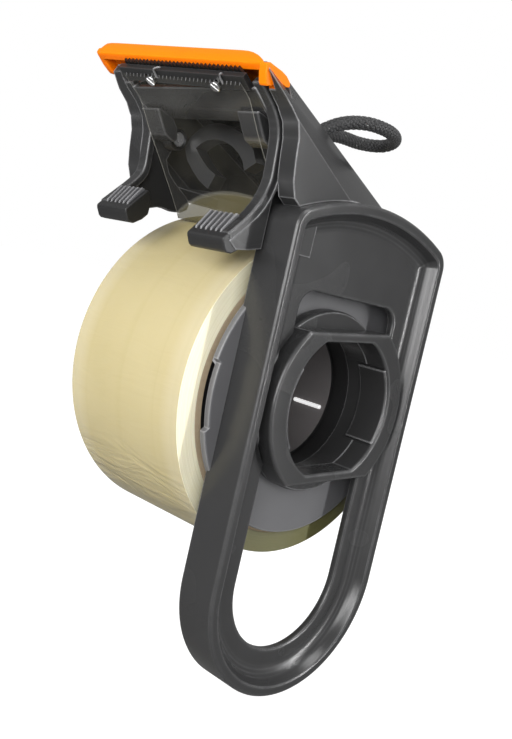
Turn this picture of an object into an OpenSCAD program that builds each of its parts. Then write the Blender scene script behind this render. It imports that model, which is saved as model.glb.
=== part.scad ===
// Hand-held packing tape dispenser with a D-ring grip and a long loop handle.
// Origin on the hub axis at the middle of the tape, X along that axis, Z up
// the loop handle, -Y the side that the tape is pulled out of.

/* [Tape roll] */
// Outer radius of the wound tape
roll_r = 46.2; // [42:0.1:46.3]
// Width of the tape roll
roll_w = 47.6; // [44:0.1:47.8]
// Outer radius of the card core
core_r = 40.2; // [39.5:0.1:41]
// Inner radius of the card core
core_bore_r = 38; // [37.8:0.1:38.4]

/* [Side frame] */
// Inner face of the side frame along X
frame_x = 25; // [24.8:0.1:26]
// Depth of the side frame along X
frame_d = 12.9; // [12:0.1:13.5]
// Radius of the bottom bend and half the width of the loop
loop_r = 32.7; // [32:0.1:33.5]
// Half the width of the slot in the loop
slot_r = 20.5; // [20:0.1:21]
// Height of the centre of the bottom bend
loop_z = -50.7; // [-52:0.1:-50]
// Height of the top edge of the slot
slot_top_z = 29.5; // [28.5:0.1:30.5]
// Radius of the top edge of the frame
arch_r = 74; // [72:0.5:76]
// Height of the top of the frame
arch_z = 55.3; // [55:0.1:55.6]
// Radius of the two top corners
corner_r = 6; // [5:0.5:7]
// Width of the raised bead round the rim
bead_w = 3; // [2.5:0.1:3.5]
// Depth of the panel below the bead
panel_drop = 4.4; // [4:0.1:5]
// Thickness of the panel
panel_t = 2.4; // [2:0.1:3]

/* [Grip] */
// Outer radius of the grip collar
collar_r = 26.8; // [26.5:0.1:27]
// Half the height of the grip collar over its flats
collar_flat = 20; // [19.8:0.1:20.2]
// Radius of the finger hole
finger_r = 20.6; // [20.3:0.1:20.8]
// Half the height of the finger hole over its flats
finger_flat = 17.7; // [17:0.1:18]
// Turn of the grip's flats about the hub axis
grip_turn = 5.4; // [0:0.1:8]

/* [Head] */
// Half the width of the head over its cheeks
head_hw = 34.3; // [33.8:0.1:34.6]
// Thickness of the head's walls
head_wall = 2; // [1.8:0.1:2.2]
// Skew of the cutting edge, one end of it being further out
skew = 4.2; // [3:0.1:5]
// Half the width of the rocking yoke
yoke_hw = 27.9; // [27.5:0.1:28.1]

/* [Hidden] */

$fn = 96;
gap = 0.3;                       // working gap between moving pieces
frame_x1 = frame_x + frame_d;    // outer face of the frame and of the grip
flange_x = 26.6;                 // outer face of the hub flange
boss_x = 30.4;                   // outer face of the hub boss
boss_r = 25.9;
flange_r = 37.9;
drum_r = core_bore_r - 0.4;
drum_x = 22.6;                   // half the length of the hub drum
web_t = 3.2;                     // thickness of the yoke's side webs
cheek_x = 28.6;                  // inner face of the head's thick front edges
cap_screw_r = 27;                // radius of the ring of cap screws
bore_r = 20;                     // bore of the drum's inner tube
pivot = [-28, 64];               // rocking axis of the yoke as [y, z]
pin_r = 2;
blade_y = -47.6;                 // middle of the cutting edge
blade_z = 79.4;
slope = 33;                      // lean of the cutting group above the level
screw_x = 13.6;
pad_in = 13.6;                   // inner end of a thumb pad

// Lanyard route: out of the back of the head, round one open loop and back in.
cord_d = 4;
cord_route = [[17.5, -18, 66.6], [18, -16.5, 68.6], [18.5, -14.5, 70.8], [19.5, -11.5, 73],
    [20.4, -9, 74.8], [21.4, -6, 76.4], [22.6, -2.4, 77.6], [23.6, 2, 78.4], [23.6, 7.2, 78.8],
    [22.6, 12.4, 79], [20.4, 17.4, 79], [17.4, 21.6, 78.8], [14, 24.2, 78.4], [11, 24.6, 77.8],
    [9, 22.4, 77.2], [8.6, 18.6, 76.6], [9.2, 13.8, 76], [10.2, 8.4, 75.6], [11.2, 3.2, 75],
    [12.4, -2, 74], [13.4, -6.6, 72.8], [14, -11, 71.2], [14.2, -14.6, 69.2], [14.2, -17.4, 66.8]];

// A flat outline in the YZ plane, given thickness from x0 to x1.
module along_x(x0, x1) {
    translate([x0, 0, 0])
        rotate([90, 0, 90])
            linear_extrude(x1 - x0)
                children();
}

// A round bar along X.
module bar_x(x0, x1, r) {
    along_x(x0, x1)
        circle(r);
}

// Outline of the frame, drawn in by the given margin.
module frame_outline(margin = 0) {
    hw = loop_r - margin;
    big_r = arch_r - margin;
    big_z = arch_z - arch_r;
    small_r = corner_r - margin;
    corner_y = loop_r - corner_r;
    reach = sqrt(pow(arch_r - corner_r, 2) - pow(corner_y, 2));
    corner_z = big_z + reach;
    touch_y = corner_y * big_r / (arch_r - corner_r);
    translate([0, loop_z])
        circle(hw);
    translate([-hw, loop_z])
        square([2 * hw, corner_z - loop_z]);
    for (side = [-1, 1])
        translate([side * corner_y, corner_z])
            circle(small_r);
    intersection() {
        translate([0, big_z])
            circle(big_r, $fn = 240);
        translate([-touch_y, 0])
            square([2 * touch_y, arch_z]);
    }
}

// Outline of the long slot, grown by the given margin.
module slot_outline(margin = 0) {
    hw = slot_r + margin;
    round_r = 5 + margin;
    translate([0, loop_z])
        circle(hw);
    translate([-hw, loop_z])
        square([2 * hw, slot_top_z + margin - round_r - loop_z]);
    translate([-hw + round_r, 0])
        square([2 * (hw - round_r), slot_top_z + margin]);
    for (side = [-1, 1])
        translate([side * (hw - round_r), slot_top_z + margin - round_r])
            circle(round_r);
}

// Outline of the grip: a disc with a flat at the top and one at the bottom.
module grip_outline(r, flat) {
    rotate(grip_turn)
        intersection() {
            circle(r);
            translate([-r, -flat])
                square([2 * r, 2 * flat]);
        }
}

module side_frame() {
    color("#4b4c4e")
    difference() {
        along_x(frame_x, frame_x1)
            difference() {
                frame_outline();
                slot_outline();
            }
        // The panel lies well below the bead that runs round the rim.
        along_x(frame_x1 - panel_drop, frame_x1 + 1)
            frame_outline(bead_w);
        // Hollow back, left solid round the hub and where the head is fixed.
        along_x(frame_x - 1, frame_x1 - panel_drop - panel_t)
            difference() {
                frame_outline(bead_w);
                circle(boss_r + 3);
                translate([-50, 44])
                    square([100, 40]);
            }
        bar_x(frame_x - 1, flange_x + gap, flange_r + gap);
        bar_x(frame_x - 1, boss_x + 0.1, boss_r + 0.2);
        along_x(boss_x, frame_x1 + 1)
            grip_outline(collar_r + 0.1, collar_flat + 0.1);
        // Shallow step below the top left corner of the panel.
        translate([frame_x1 - panel_drop - 0.5, -29.7, 36])
            cube([3, 2.6, 12.6]);
    }
}

module grip_collar() {
    color("#505153")
    difference() {
        along_x(boss_x + 0.1, frame_x1)
            grip_outline(collar_r, collar_flat);
        along_x(boss_x - 1, frame_x1 + 1)
            grip_outline(finger_r, finger_flat);
        // Seats of the two finger grips.
        for (side = [0, 180])
            finger_grip(side, 0.05);
    }
}

// One curved grip on the wall of the finger hole, on the given side.
module finger_grip(side, margin) {
    half = 36;
    rotate([side, 0, 0])
        intersection() {
            difference() {
                bar_x(boss_x + 0.3 - margin, frame_x1 - 0.3 + margin, finger_r + 1.2 + margin);
                bar_x(boss_x - 1, frame_x1 + 1, finger_r - 1.3);
            }
            along_x(boss_x - 1, frame_x1 + 1)
                rotate(grip_turn)
                    polygon([[0, 0], [40, -40 * tan(half) - margin], [40, 40 * tan(half) + margin]]);
        }
}

module finger_grips() {
    color("#3f4042")
    for (side = [0, 180])
        finger_grip(side, 0);
}

module hub_sleeve() {
    color("#48494b")
    difference() {
        union() {
            bar_x(flange_x + 0.1, boss_x, boss_r);
            bar_x(drum_x + 0.2, flange_x + 0.2, bore_r + 4);
        }
        bar_x(drum_x - 1, boss_x + 1, finger_r + 0.2);
    }
}

module hub_flange() {
    color("#4a4b4d")
    difference() {
        bar_x(frame_x - 0.6, flange_x, flange_r);
        bar_x(frame_x - 2, flange_x + 1, bore_r + 4.1);
    }
}

module hub_drum() {
    color("#434446")
    difference() {
        bar_x(-drum_x, drum_x, drum_r);
        bar_x(-drum_x + 2, drum_x + 1, drum_r - 2.2);
        bar_x(-drum_x - 1, drum_x, bore_r + 1);
        for (turn = [0:120:240])
            rotate([turn, 0, 0])
                translate([0, 0, cap_screw_r])
                    bar_x(-drum_x - 1, -drum_x + 3, 1.6);
        // Slits that free the four core clips.
        for (turn = [45:90:315])
            rotate([turn, 0, 0])
                translate([-drum_x - 1, -7, drum_r - 4])
                    cube([12, 14, 6]);
    }
    color("#434446")
    difference() {
        bar_x(-drum_x, drum_x, bore_r + 2.2);
        bar_x(-drum_x - 1, drum_x + 1, bore_r);
        // Pocket of the brake pin in the bore's wall.
        translate([3.3, bore_r - 2, -4.9])
            cube([11.6, 3.3, 1.6]);
    }
}

// Spring fingers that hold the core on the drum, with a low hook on each.
module core_clips() {
    color("#3c3d3f")
    intersection() {
        rotate([0, 90, 0])
            rotate_extrude()
                polygon([[drum_r - 2, -drum_x], [drum_r - 0.2, -drum_x], [drum_r - 0.2, -drum_x - 1.6],
                    [drum_r + 1.6, -drum_x - 1.6], [drum_r + 1.6, -drum_x - 2.4],
                    [drum_r - 0.6, -drum_x - 4.2], [drum_r - 2, -drum_x - 4.2]]);
        union() {
            for (turn = [45:90:315])
                rotate([turn, 0, 0])
                    translate([-30, -6.5, 0])
                        cube([20, 13, 50]);
        }
    }
}

module brake_pin() {
    color("#e8e8e8")
    translate([3.6, bore_r + 0.45, -4.1])
        rotate([0, 90, 0])
            cylinder(h = 11, r = 0.6, $fn = 24);
}

// Ring screwed to the end of the drum, open in the middle like the bore.
module hub_cap() {
    color("#414244")
    difference() {
        bar_x(-drum_x - 2.2, -drum_x - 0.05, drum_r - 3.6);
        bar_x(-drum_x - 3, -drum_x + 1, bore_r);
        for (turn = [0:120:240])
            rotate([turn, 0, 0])
                translate([0, 0, cap_screw_r])
                    bar_x(-drum_x - 3, -drum_x + 3, 1.6);
    }
}

module hub_screws() {
    color("#c9cacc")
    for (turn = [0:120:240])
        rotate([turn, 0, 0])
            translate([0, 0, cap_screw_r]) {
                bar_x(-drum_x - 2.3, -drum_x + 3, 1.5);
                bar_x(-drum_x - 3.6, -drum_x - 2.25, 2.8);
            }
}

module tape_core() {
    color("#b08a5c")
    difference() {
        bar_x(-roll_w / 2, roll_w / 2, core_r);
        bar_x(-roll_w, roll_w, core_bore_r);
    }
}

module tape_roll() {
    color("#d8cd9c")
    difference() {
        bar_x(-roll_w / 2, roll_w / 2, roll_r);
        bar_x(-roll_w, roll_w, core_r + 0.02);
    }
}

// Convex body of the head: bars across it, each [y, z, half the width].
module head_body(grow = 0) {
    rows = [[-50, 83.4, 26], [-46, 83.4, 26], [-36, 79.8, 25], [14.5, 57.6, 24], [-50, 75.8, head_hw],
        [-11, 54.4, head_hw], [-50, 40, head_hw], [-9, 40, head_hw], [16, 54, 24], [16, 40, 24]];
    hull()
        for (row = rows)
            translate([-row[2] - grow, row[0] - 0.1, row[1] - 0.1 + (row[1] > 52 ? grow : 0)])
                cube([2 * (row[2] + grow), 0.2, 0.2]);
}

// Side outline of the head, with its swept front edge.
module head_side() {
    polygon([[-47.2, 83], [-47.2, 77.6], [-43.4, 74.2], [-39.4, 71.2], [-36.6, 68.2], [-35.3, 64.5],
        [-34.7, 59], [-33.9, 54.4], [-32.2, 50.6], [-29, 48.6], [17, 48.6], [17, 83]]);
}

// Blind bosses of the rocking pins, grown or shrunk by the given margin.
module pin_bosses(r, end) {
    for (side = [0, 1])
        mirror([side, 0, 0])
            translate([0, pivot[0], pivot[1]])
                bar_x(cheek_x - 0.2, end, r);
}

module head_shell() {
    color("#4b4c4e")
    difference() {
        union() {
            difference() {
                intersection() {
                    head_body();
                    along_x(-40, 40)
                        head_side();
                }
                translate([0, 0, 0.2])
                    head_body(-head_wall);
            }
            // Thick front edges of the two cheeks.
            intersection() {
                head_body();
                for (side = [0, 1])
                    mirror([side, 0, 0])
                        along_x(cheek_x, 40)
                            difference() {
                                head_side();
                                offset(delta = -3.2)
                                    head_side();
                            }
            }
            intersection() {
                head_body();
                pin_bosses(4.4, 40);
            }
        }
        // The right cheek stands on the arched top of the frame.
        along_x(frame_x - 0.1, 60)
            frame_outline(-0.1);
        pin_bosses(pin_r + 0.05, 31.7);
        // Two eyes for the lanyard.
        for (eye = [[18.2, -15.6, 69.6], [14.2, -15.2, 69]])
            translate(eye)
                rotate([-42, 0, 0])
                    cylinder(h = 9, r = cord_d / 2 + 0.3, center = true);
        // Hood cut away behind the front edge for the guard and its two ears.
        guard_frame() {
            translate([-40, -4, 0.4])
                cube([80, 13, 14]);
            guard_ears(0.05);
        }
    }
}

// Places a child at the middle of the cutting edge: X along the edge, Y back
// along the sloping face, Z square to that face.
module guard_frame() {
    translate([0, blade_y, blade_z])
        rotate([-slope, 0, 0])
            rotate([0, 0, skew])
                children();
}

// Ears of the guard over the ends of the hood, in guard_frame.
module guard_ears(margin = 0) {
    left = [[-0.8, 1.2], [0.6, -0.6], [4.4, -0.1], [6.4, 1.4]];
    right = [[-0.8, 1.2], [-0.6, -1.6], [1.2, -3.2], [6.4, 1]];
    hull()
        for (p = left)
            translate([-35.2 - margin, p[0], p[1]])
                rotate([0, 90, 0])
                    cylinder(h = 2.4 + 2 * margin, r = 0.9 + margin, $fn = 32);
    hull()
        for (p = right)
            translate([28.6 - margin, p[0], p[1]])
                rotate([0, 90, 0])
                    cylinder(h = 2.4 + 2 * margin, r = 0.9 + margin, $fn = 32);
}

module blade_guard() {
    // Bars along the guard: [y, z, left end, right end, radius], in guard_frame.
    rows = [[-1.2, 1.8, -34.4, 27.4, 2.2], [0.2, 3.4, -31, 22.5, 2.4], [7.6, 4.6, -26, 23, 1.4],
        [7.6, 1.8, -33.6, 30.4, 1.3]];
    color("#ff9a12")
    guard_frame() {
        difference() {
            hull()
                for (row = rows)
                    translate([row[2], row[0], row[1]])
                        rotate([0, 90, 0])
                            cylinder(h = row[3] - row[2], r = row[4], $fn = 32);
            translate([-40, -0.6, -4])
                cube([80, 14, 4.4]);
        }
        guard_ears();
    }
}

module head_screws() {
    color("#c9cacc")
    for (y = [-22, -9, 2])
        translate([0, y, 51])
            bar_x(frame_x - 1.8, frame_x, 2.4);
}

module yoke_pins() {
    color("#bfc1c4")
    for (side = [0, 180])
        rotate([0, 0, side])
            translate([0, side == 0 ? pivot[0] : -pivot[0], pivot[1]])
                bar_x(20.8, 31.6, pin_r);
}

module return_springs() {
    color("#a9abae")
    for (side = [-1, 1])
        for (turn = [0:3])
            translate([side * (21.3 + turn * 0.9), pivot[0], pivot[1]])
                rotate([0, 90, 0])
                    rotate_extrude()
                        translate([pin_r + 0.9, 0])
                            circle(0.35, $fn = 16);
}

// Curved rib under the roof that keeps the web off the inside of the head.
module guide_bow() {
    color("#38393b")
    translate([-5, -22, 57])
        rotate([90, 0, 0]) {
            difference() {
                cylinder(h = 6, r = 13.5);
                translate([0, 0, -1])
                    cylinder(h = 8, r = 10.5);
                translate([-30, -52, -1])
                    cube([60, 50, 8]);
            }
            translate([-2, 13.3, 0])
                cube([4, 1.9, 6]);
        }
}

// Side web of the yoke, from the cutting edge down to the pad.
module yoke_side() {
    polygon([[-46.4, 74.6], [-45, 75.5], [-30, 68.2], [-30, 61], [-29.4, 54], [-22, 48.6], [-17, 47.6],
        [-17, 46.4 + 0.9], [-24.5, 45], [-31, 41.5], [-35.8, 38], [-36.4, 36], [-43, 36], [-45.8, 38.6],
        [-46.8, 40.4], [-39.4, 48], [-37.8, 52], [-37, 60], [-37.4, 65.8], [-40, 69.6]]);
    translate(pivot)
        circle(3.9);
}

module blade_yoke() {
    color("#47484a")
    difference() {
        union() {
            for (side = [0, 1])
                mirror([side, 0, 0])
                    difference() {
                        along_x(yoke_hw - web_t, yoke_hw)
                            yoke_side();
                        // Below the shoulder the right web keeps clear of the frame.
                        if (side == 0)
                            translate([frame_x - 0.4, -36, 30])
                                cube([10, 30, 26]);
                    }
            // Cross plate behind the tape, cut square behind the clamp bar.
            difference() {
                along_x(-yoke_hw + 3, yoke_hw - 3)
                    polygon([[-45.2, 73.8], [-44, 75.6], [-33, 68.6], [-31.7, 62], [-33.2, 62], [-35, 67]]);
                guard_frame()
                    translate([-40, -20, -12])
                        cube([80, 24.1, 24]);
            }
        }
        translate([0, pivot[0], pivot[1]])
            bar_x(-50, 50, pin_r + 0.06);
    }
}

module blade_clamp() {
    color("#505153")
    guard_frame()
        difference() {
            translate([-24, -0.2, -3.6])
                cube([48, 4.2, 1.6]);
            for (side = [-1, 1])
                translate([side * screw_x, 2.4, -5])
                    cylinder(h = 6, r = 1.1, $fn = 32);
        }
}

module cutter_blade() {
    pitch = 1.5;
    teeth = 30;
    color("#b9bbbe")
    guard_frame()
        translate([0, 0, -1.9])
            difference() {
                linear_extrude(0.7)
                    polygon(concat(
                        [[-teeth * pitch / 2, 4], [-teeth * pitch / 2, 0]],
                        [for (i = [0:teeth - 1]) each [[(i + 0.5 - teeth / 2) * pitch, -1.6],
                            [(i + 1 - teeth / 2) * pitch, 0]]],
                        [[teeth * pitch / 2, 4]]));
                for (side = [-1, 1])
                    translate([side * screw_x, 2.4, -1])
                        cylinder(h = 4, r = 1.1, $fn = 32);
            }
}

module blade_screws() {
    color("#d5d6d8")
    guard_frame()
        for (side = [-1, 1])
            translate([side * screw_x, 2.4, 0]) {
                translate([0, 0, -3.6])
                    cylinder(h = 2.6, r = 1, $fn = 32);
                translate([0, 0, -4.8])
                    cylinder(h = 1.1, r = 2.2, $fn = 48);
            }
}

// Ribbed thumb pad on the right; the left one is its mirror image.
module thumb_pad() {
    difference() {
        translate([pad_in, 0, 0])
            rotate([90, 0, 90])
                linear_extrude(yoke_hw - web_t - 0.1 - pad_in)
                    polygon([[-46.6, 40], [-45.6, 37.4], [-42, 35.4], [-38, 36.2], [-37, 42], [-38, 47.4],
                        [-39.6, 47.6]]);
        for (rib = [0:4])
            translate([pad_in + 1.4 + rib * 1.9, -43.4, 43.4])
                rotate([-43, 0, 0])
                    translate([0, -3.4, -0.5])
                        cube([0.9, 6.8, 2]);
    }
}

module right_thumb_pad() {
    color("#3f4042")
    thumb_pad();
}

module left_thumb_pad() {
    color("#3f4042")
    mirror([1, 0, 0])
        thumb_pad();
}

module tape_tabs() {
    color("#58595b")
    for (side = [0, 1])
        mirror([side, 0, 0])
            along_x(14, yoke_hw - web_t - 0.1)
                polygon([[-41.9, 70.8], [-41.5, 71.2], [-35.2, 66.9], [-33.3, 62.4], [-35.8, 62.4],
                    [-37.9, 65.3]]);
}

module tape_strip() {
    color("#e6e0c4")
    difference() {
        along_x(-22.6, 22.6)
            polygon([[-48.4, 74.9], [-48.2, 75.15], [-43, 71.75], [-38.3, 65.1], [-31.2, 56.4],
                [-20.9, 43], [-21.2, 42.8], [-31.5, 56.2], [-38.6, 64.9], [-43.2, 71.5]]);
        // The film gives way to the two screw heads.
        guard_frame()
            for (side = [-1, 1])
                translate([side * screw_x, 2.4, -8])
                    cylinder(h = 6, r = 2.35, $fn = 48);
    }
}

module cord_anchor() {
    color("#303133")
    translate([0, -18, 64.6])
        bar_x(9, 23, 1.8);
}

// Ring of points round the route at point i, square to the way it runs.
function cord_way(p, i) =
    let (a = p[max(i - 1, 0)], b = p[min(i + 1, len(p) - 1)]) (b - a) / norm(b - a);
function cord_ring(p, i, r, sides) =
    let (way = cord_way(p, i),
        across = cross(way, [0.2, 0.1, 1]) / norm(cross(way, [0.2, 0.1, 1])),
        up = cross(across, way))
    [for (k = [0:sides - 1]) p[i] + r * (cos(360 * k / sides) * across + sin(360 * k / sides) * up)];

module lanyard_cord() {
    sides = 10;
    rings = len(cord_route);
    points = [for (i = [0:rings - 1]) each cord_ring(cord_route, i, cord_d / 2, sides)];
    walls = [for (i = [0:rings - 2]) for (k = [0:sides - 1])
        let (n = (k + 1) % sides)
        [i * sides + k, i * sides + n, (i + 1) * sides + n, (i + 1) * sides + k]];
    ends = [[for (k = [sides - 1:-1:0]) k], [for (k = [0:sides - 1]) (rings - 1) * sides + k]];
    color("#1c1d1f")
    polyhedron(points, concat(walls, ends), convexity = 6);
}

side_frame();
grip_collar();
finger_grips();
hub_sleeve();
hub_flange();
hub_drum();
core_clips();
brake_pin();
hub_cap();
hub_screws();
tape_core();
tape_roll();
head_shell();
blade_guard();
head_screws();
yoke_pins();
return_springs();
guide_bow();
blade_yoke();
blade_clamp();
cutter_blade();
blade_screws();
left_thumb_pad();
right_thumb_pad();
tape_tabs();
tape_strip();
cord_anchor();
lanyard_cord();
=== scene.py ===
import math
import bmesh
import bpy
from mathutils import Matrix, Vector


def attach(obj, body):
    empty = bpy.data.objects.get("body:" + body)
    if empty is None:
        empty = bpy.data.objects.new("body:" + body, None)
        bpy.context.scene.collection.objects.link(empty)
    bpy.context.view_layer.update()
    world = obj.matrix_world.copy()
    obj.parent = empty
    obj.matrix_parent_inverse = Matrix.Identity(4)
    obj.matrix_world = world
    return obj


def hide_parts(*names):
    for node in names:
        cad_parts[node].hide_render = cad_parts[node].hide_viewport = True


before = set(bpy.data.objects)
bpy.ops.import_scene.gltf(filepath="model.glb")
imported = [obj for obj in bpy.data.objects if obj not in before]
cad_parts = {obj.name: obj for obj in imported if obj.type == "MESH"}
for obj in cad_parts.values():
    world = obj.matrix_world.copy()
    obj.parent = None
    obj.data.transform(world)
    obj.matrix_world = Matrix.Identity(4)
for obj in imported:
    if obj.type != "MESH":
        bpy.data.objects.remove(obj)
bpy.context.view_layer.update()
scene = bpy.context.scene


# ---- Camera -----------------------------------------------------------------
# Low three-quarter view from the grip side, with the tool leaning slightly.
camera = bpy.data.objects.new("camera", bpy.data.cameras.new("camera"))
scene.collection.objects.link(camera)
camera.location = (0.1952, -0.19834, 0.02671)
camera.rotation_euler = [math.radians(a) for a in (85.047, -12.721, 45.181)]
camera.data.lens = 45.08
camera.data.sensor_width = 36
camera.data.clip_start = 0.01
scene.camera = camera
scene.view_settings.view_transform = "Standard"


# ---- Side frame -------------------------------------------------------------
# One flat moulding in satin grey plastic that everything else is fixed to: a rounded
# outer wall, a bead round the rim, a fillet down to a sunk panel, a through slot that
# is also the loop handle, and a hollow back.

# Shader groups that several materials draw on.
def group(name, outputs, **inputs):
    """A new shader group with its input and output nodes; inputs are numbers with defaults."""
    tree = bpy.data.node_groups.new(name, "ShaderNodeTree")
    for key, value in inputs.items():
        socket = tree.interface.new_socket(key, in_out="INPUT", socket_type="NodeSocketFloat")
        socket.default_value = value
    for key, kind in outputs:
        tree.interface.new_socket(key, in_out="OUTPUT", socket_type=kind)
    return tree, tree.nodes.new("NodeGroupInput"), tree.nodes.new("NodeGroupOutput")


def add(tree, kind, **values):
    """A new node; each value names an input or a property, or links a socket."""
    n = tree.nodes.new(kind)
    for key, value in values.items():
        name = key.replace("_", " ")
        if name in n.inputs:
            if isinstance(value, bpy.types.NodeSocket):
                tree.links.new(value, n.inputs[name])
            else:
                n.inputs[name].default_value = value
        else:
            setattr(n, key, value)
    return n


def math_node(tree, operation, a, b=0.0):
    """The output of one sum on two numbers or sockets, held to 0..1 except for powers."""
    n = tree.nodes.new("ShaderNodeMath")
    n.operation = operation
    n.use_clamp = operation != "POWER"
    for i, value in enumerate((a, b)):
        if isinstance(value, bpy.types.NodeSocket):
            tree.links.new(value, n.inputs[i])
        else:
            n.inputs[i].default_value = value
    return n.outputs[0]


# Fine moulded grain: a mask and a bumped normal.
grain, g_in, g_out = group("moulded_grain", (("Mask", "NodeSocketFloat"), ("Normal", "NodeSocketVector")),
                           Scale=3600.0, Strength=0.08)
place = add(grain, "ShaderNodeTexCoord")
fine = add(grain, "ShaderNodeTexNoise", Vector=place.outputs["Object"], Scale=g_in.outputs["Scale"],
           Detail=3.0, Roughness=0.6)
broad = add(grain, "ShaderNodeTexNoise", Vector=place.outputs["Object"], Scale=90.0, Detail=2.0)
bump = add(grain, "ShaderNodeBump", Height=fine.outputs["Fac"], Strength=g_in.outputs["Strength"],
           Distance=0.0002)
grain.links.new(broad.outputs["Fac"], g_out.inputs["Mask"])
grain.links.new(bump.outputs["Normal"], g_out.inputs["Normal"])

# Painted edge highlights: paler in patches where the rounded normal turns away from the face. This stands for
# light caught along the edges, and partly for rubbed wear.
highlight_wear_group, w_in, w_out = group("painted_edge_highlight_and_wear", (("Mask", "NodeSocketFloat"),), Radius=0.0007, Amount=0.6)
soft = add(highlight_wear_group, "ShaderNodeBevel", Radius=w_in.outputs["Radius"], samples=4)
face = add(highlight_wear_group, "ShaderNodeNewGeometry")
dot = add(highlight_wear_group, "ShaderNodeVectorMath", operation="DOT_PRODUCT")
highlight_wear_group.links.new(soft.outputs["Normal"], dot.inputs[0])
highlight_wear_group.links.new(face.outputs["True Normal"], dot.inputs[1])
bent = math_node(highlight_wear_group, "SUBTRACT", 1.0, dot.outputs["Value"])
place = add(highlight_wear_group, "ShaderNodeTexCoord")
patchy = add(highlight_wear_group, "ShaderNodeTexNoise", Vector=place.outputs["Object"], Scale=160.0, Detail=4.0)
highlight_and_wear = math_node(highlight_wear_group, "MULTIPLY", math_node(highlight_wear_group, "MULTIPLY", bent, 5.0), patchy.outputs["Fac"])
highlight_wear_group.links.new(math_node(highlight_wear_group, "MULTIPLY", highlight_and_wear, w_in.outputs["Amount"]), w_out.inputs["Mask"])

# Handling scuffs: thin random streaks as a mask.
scuff, s_in, s_out = group("scuffs", (("Mask", "NodeSocketFloat"),), Scale=120.0, Amount=0.3)
place = add(scuff, "ShaderNodeTexCoord")
warp = add(scuff, "ShaderNodeTexNoise", Vector=place.outputs["Object"], Scale=60.0, Detail=2.0)
streak = add(scuff, "ShaderNodeTexWave", Vector=warp.outputs["Color"], Scale=s_in.outputs["Scale"],
             Distortion=9.0, Detail=2.0)
thin = math_node(scuff, "POWER", streak.outputs["Fac"], 14.0)
where = add(scuff, "ShaderNodeTexNoise", Vector=place.outputs["Object"], Scale=28.0)
thin = math_node(scuff, "MULTIPLY", thin, math_node(scuff, "GREATER_THAN", where.outputs["Fac"], 0.58))
scuff.links.new(math_node(scuff, "MULTIPLY", thin, s_in.outputs["Amount"]), s_out.inputs["Mask"])


def plastic(name, colour, edge_highlight_colour, roughness, bump_strength=0.12, coat=0.0, edge=0.6):
    """Moulded plastic with grain, scuffs, and edges mixed toward a paler colour: painted edge highlights, partly
    rubbed wear.
    """
    m = bpy.data.materials.new(name)
    m.use_nodes = True
    t = m.node_tree
    bsdf = t.nodes["Principled BSDF"]
    g = t.nodes.new("ShaderNodeGroup")
    g.node_tree = grain
    g.inputs["Strength"].default_value = bump_strength
    w = t.nodes.new("ShaderNodeGroup")
    w.node_tree = highlight_wear_group
    w.inputs["Amount"].default_value = edge
    s = t.nodes.new("ShaderNodeGroup")
    s.node_tree = scuff
    tone = add(t, "ShaderNodeMix", data_type="RGBA")
    tone.inputs[6].default_value = (*[0.93 * c for c in colour], 1)
    tone.inputs[7].default_value = (*[1.07 * c for c in colour], 1)
    t.links.new(g.outputs["Mask"], tone.inputs[0])
    # Edges mixed toward the paler colour: painted highlight, partly wear.
    edged = add(t, "ShaderNodeMix", data_type="RGBA")
    edged.inputs[7].default_value = (*edge_highlight_colour, 1)
    t.links.new(w.outputs["Mask"], edged.inputs[0])
    t.links.new(tone.outputs[2], edged.inputs[6])
    t.links.new(edged.outputs[2], bsdf.inputs["Base Color"])
    rough = add(t, "ShaderNodeMapRange", To_Min=roughness - 0.03, To_Max=roughness + 0.05)
    t.links.new(g.outputs["Mask"], rough.inputs["Value"])
    rubbed_away = math_node(t, "MULTIPLY", w.outputs["Mask"], 0.12)
    polished = math_node(t, "SUBTRACT", rough.outputs["Result"], rubbed_away)
    t.links.new(math_node(t, "ADD", polished, s.outputs["Mask"]), bsdf.inputs["Roughness"])
    t.links.new(g.outputs["Normal"], bsdf.inputs["Normal"])
    bsdf.inputs["Specular IOR Level"].default_value = 0.5
    bsdf.inputs["Coat Weight"].default_value = coat
    bsdf.inputs["Coat Roughness"].default_value = 0.12
    return m


# Satin grey; its edges are painted almost white in patches as painted highlights.
GREY = plastic("grey_plastic", (0.025, 0.025, 0.0255), (0.50, 0.50, 0.51), 0.24, 0.07, 0.0, 1.2)


# Outlines are lists of (y, z) in millimetres; loops of them are bridged along X.
def loop(bm, points):
    """A closed loop of edges through 3-D points."""
    verts = [bm.verts.new(p) for p in points]
    return [bm.edges.new((a, b)) for a, b in zip(verts, verts[1:] + verts[:1])]


def at_x(outline, x):
    """The outline as 3-D points in the plane at x."""
    return [(x, y, z) for y, z in outline]


def bridge(bm, loops):
    """A skin over a row of loops."""
    for a, b in zip(loops, loops[1:]):
        bmesh.ops.bridge_loops(bm, edges=a + b)


def fill(bm, *loops):
    """Closes the flat region between an outer loop and any inner ones."""
    bmesh.ops.triangle_fill(bm, use_beauty=True, use_dissolve=False, edges=[e for l in loops for e in l])


def turned(profile, steps=192):
    """A body of revolution about X: profile is a closed list of (x, r) in millimetres."""
    bm = bmesh.new()
    edges = loop(bm, [(x, 0, r) for x, r in profile])
    verts = list({v for e in edges for v in e.verts})
    bmesh.ops.spin(bm, geom=verts + edges, cent=(0, 0, 0), axis=(1, 0, 0), angle=math.tau,
                   steps=steps, use_merge=True)
    return bm


def soften(bm, width, segments=3, angle=40):
    """Rounds every edge sharper than the angle."""
    bmesh.ops.remove_doubles(bm, verts=bm.verts, dist=1e-4)
    edges = [e for e in bm.edges if len(e.link_faces) == 2 and e.calc_face_angle(0) > math.radians(angle)]
    bmesh.ops.bevel(bm, geom=edges, offset=width, segments=segments, affect="EDGES", profile=0.5,
                    material=-1, clamp_overlap=True)


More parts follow.
